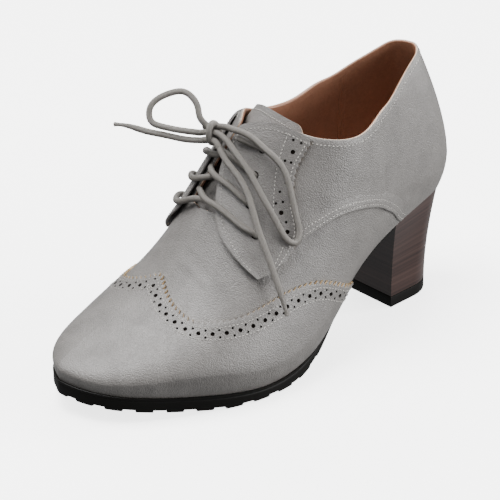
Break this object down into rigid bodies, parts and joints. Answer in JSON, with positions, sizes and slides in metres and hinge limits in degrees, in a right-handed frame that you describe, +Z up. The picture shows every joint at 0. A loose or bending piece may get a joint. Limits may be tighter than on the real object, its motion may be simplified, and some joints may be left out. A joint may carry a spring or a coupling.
{
  "type": "womens heeled oxford shoe",
  "caption": "Women's left heeled oxford shoe: hollow leather upper with wing cap and open lacing, lugged rubber sole and flared block heel, standing empty.",
  "frame": {"origin": "middle of the shoe's outline on the floor it stands on", "axes": "+Z up, toe to -Y, heel to +Y, outer side of the foot to +X"},
  "size_m": [0.0995, 0.2378, 0.1397],
  "materials": {
    "grey_leather": "fine pebbled grain, satin, with tan raw cut edges",
    "brown_lining": "smooth matte lining",
    "black_rubber": "matte to satin",
    "stacked_heel": "polished stacked layers, dark brown",
    "grey_lace": "round waxed cord"
  },
  "bodies": {
    "root": {"upper": "grey_leather", "wing_cap": "grey_leather", "facing_outer": "grey_leather", "facing_inner": "grey_leather", "tongue": "grey_leather", "insole": "brown_lining", "outsole": "black_rubber", "heel_block": "stacked_heel", "heel_lift": "black_rubber", "lace_cross_2": "grey_lace", "lace_cross_3": "grey_lace", "lace_cross_4": "grey_lace", "lace_top_outer": "grey_lace", "lace_top_inner": "grey_lace", "lace_knot": "grey_lace", "lace_loop_inner": "grey_lace", "lace_loop_outer": "grey_lace", "lace_end_inner": "grey_lace", "lace_end_outer": "grey_lace"}
  },
  "joints": []
}
